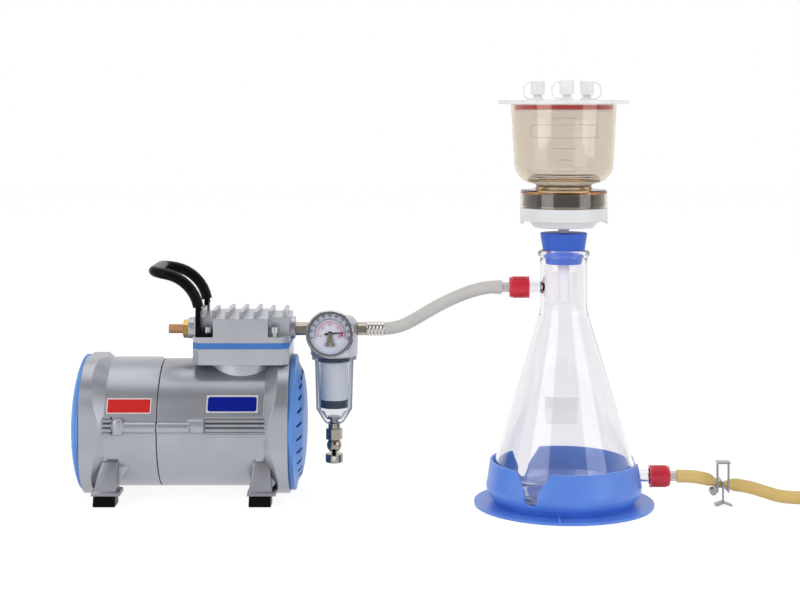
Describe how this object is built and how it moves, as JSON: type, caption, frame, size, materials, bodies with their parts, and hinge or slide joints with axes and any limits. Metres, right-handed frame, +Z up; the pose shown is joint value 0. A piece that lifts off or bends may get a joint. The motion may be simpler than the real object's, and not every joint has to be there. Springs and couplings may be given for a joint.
{
  "type": "vacuum filtration unit",
  "caption": "Bench vacuum filtration unit: piston pump with moisture trap and gauge, hose to a side-arm flask in a holder, and a magnetic filter funnel with lid.",
  "frame": {"origin": "centre of the underside of the flask holder's base disc, on the bench", "axes": "+X to the right along the bench from the pump towards the drain tube, +Y away from the user, +Z up"},
  "size_m": [0.7068, 0.215, 0.3846],
  "materials": {
    "housing_grey": "satin silver enamel on cast aluminium",
    "head_grey": "fine blasted casting",
    "cover_blue": "moulded, satin",
    "gasket_blue": "moulded",
    "badge_blue": "plain enamel field",
    "steel": "machined",
    "lamination": "varnished laminations",
    "black_rubber": "matt",
    "black_plastic": "moulded",
    "switch_red": "polished",
    "brass": "machined",
    "bronze": "sintered grains",
    "nickel": "nickel plated",
    "chrome": "polished",
    "dial_white": "printed card",
    "pointer_black": "matt",
    "lens_clear": "clear",
    "bowl_clear": "clear polycarbonate",
    "element_white": "porous",
    "silicone": "translucent",
    "flask_glass": "borosilicate glass",
    "holder_blue": "moulded silicone, satin",
    "cap_red": "ribbed moulding",
    "connector_white": "translucent",
    "latex": "natural latex",
    "stopper_blue": "silicone",
    "support_white": "moulded",
    "membrane_white": "fine membrane",
    "funnel_smoke": "amber tinted clear plastic",
    "magnet_dark": "magnet in black coat",
    "lid_clear": "frosted clear plastic",
    "ring_red": "silicone",
    "cap_frost": "translucent silicone"
  },
  "bodies": {
    "base": {"left_housing": "housing_grey", "right_housing": "housing_grey", "left_end_cover": "cover_blue", "right_end_cover": "cover_blue", "tie_bolts": "steel", "rubber_feet": "black_rubber", "cylinder_block": "head_grey", "valve_plate": "steel", "head_gasket": "gasket_blue", "head_cover": "head_grey", "head_bolts": "steel", "handle_bracket": "black_plastic", "handle_sleeve": "black_rubber", "muffler_body": "brass", "muffler_element": "bronze", "power_inlet": "black_plastic", "motor_stator": "lamination", "bearings": "steel", "blue_badge": "badge_blue", "inlet_nipple": "nickel", "trap_head": "head_grey", "gauge_case": "chrome", "gauge_dial": "dial_white", "gauge_lens": "lens_clear", "filter_element": "element_white", "element_cap": "black_plastic", "outlet_barb": "nickel", "vacuum_hose": "silicone", "filter_flask": "flask_glass", "flask_holder": "holder_blue", "upper_connector": "connector_white", "lower_connector": "connector_white", "drain_tube": "latex", "clamp_frame": "chrome"},
    "rotor": {"rotor_core": "lamination", "motor_shaft": "steel", "cooling_fan": "black_plastic", "crank_disc": "steel"},
    "piston": {"piston_rod": "head_grey", "piston_seal": "black_rubber"},
    "pointer": {"gauge_pointer": "pointer_black"},
    "seal_ring": {"bowl_seal": "black_rubber"},
    "bowl": {"trap_bowl": "bowl_clear", "drain_valve_body": "nickel"},
    "drain_knob": {"drain_valve_knob": "nickel"},
    "upper_cap": {"upper_screw_cap": "cap_red"},
    "lower_cap": {"lower_screw_cap": "cap_red"},
    "stopper_group": {"stopper": "stopper_blue", "filter_support": "support_white", "filter_membrane": "membrane_white"},
    "funnel": {"filter_funnel": "funnel_smoke", "magnet_ring": "magnet_dark"},
    "lid": {"funnel_lid": "lid_clear", "lid_ring": "ring_red"},
    "left_cap": {"left_port_cap": "cap_frost"},
    "centre_cap": {"centre_port_cap": "cap_frost"},
    "right_cap": {"right_port_cap": "cap_frost"},
    "switch": {"power_switch": "switch_red"},
    "clamp_slider": {"clamp_jaw": "chrome"}
  },
  "joints": [
    {"name": "motor_spin", "type": "hinge", "parent": "base", "child": "rotor", "pos_m": [-0.2945, 0.042, 0.067], "axis": [1, 0, 0], "continuous": true},
    {"name": "piston_stroke", "type": "slide", "parent": "base", "child": "piston", "axis": [0, 0, 1], "range_m": [-0.006, 0.006]},
    {"name": "pointer_turn", "type": "hinge", "parent": "base", "child": "pointer", "pos_m": [-0.213, 0.005, 0.1536], "axis": [0, -1, 0], "range_deg": [0, 210], "stiffness_Nm_per_rad": 0.0004},
    {"name": "bowl_drop", "type": "slide", "parent": "base", "child": "seal_ring", "axis": [0, 0, -1], "range_m": [0, 0.003]},
    {"name": "bowl_turn", "type": "hinge", "parent": "seal_ring", "child": "bowl", "pos_m": [-0.2105, 0.042, 0.1], "axis": [0, 0, -1], "range_deg": [0, 540]},
    {"name": "drain_valve_turn", "type": "hinge", "parent": "bowl", "child": "drain_knob", "pos_m": [-0.2105, 0.042, 0.035], "axis": [0, 0, 1], "range_deg": [0, 360]},
    {"name": "upper_cap_turn", "type": "hinge", "parent": "base", "child": "upper_cap", "pos_m": [-0.04, 0, 0.197], "axis": [-1, 0, 0], "range_deg": [0, 180]},
    {"name": "lower_cap_turn", "type": "hinge", "parent": "base", "child": "lower_cap", "pos_m": [0.087, 0, 0.025], "axis": [1, 0, 0], "range_deg": [0, 180]},
    {"name": "stopper_lift", "type": "slide", "parent": "base", "child": "stopper_group", "axis": [0, 0, 1], "range_m": [0, 0.06]},
    {"name": "funnel_lift", "type": "slide", "parent": "stopper_group", "child": "funnel", "axis": [0, 0, 1], "range_m": [0, 0.04]},
    {"name": "lid_lift", "type": "slide", "parent": "funnel", "child": "lid", "axis": [0, 0, 1], "range_m": [0, 0.03]},
    {"name": "left_cap_pull", "type": "slide", "parent": "lid", "child": "left_cap", "axis": [0, 0, 1], "range_m": [0, 0.014]},
    {"name": "centre_cap_pull", "type": "slide", "parent": "lid", "child": "centre_cap", "axis": [0, 0, 1], "range_m": [0, 0.014]},
    {"name": "right_cap_pull", "type": "slide", "parent": "lid", "child": "right_cap", "axis": [0, 0, 1], "range_m": [0, 0.014]},
    {"name": "switch_tilt", "type": "hinge", "parent": "base", "child": "switch", "pos_m": [-0.389, 0.102, 0.099], "axis": [1, 0, 0], "range_deg": [0, 9]},
    {"name": "clamp_squeeze", "type": "slide", "parent": "base", "child": "clamp_slider", "axis": [0, 0, 1], "range_m": [0, 0.006], "stiffness_N_per_m": 250, "springref_m": -0.005}
  ],
  "couplings": [
    {"joint": "bowl_turn", "follows": "bowl_drop", "rad_per_m": 3141.5}
  ]
}
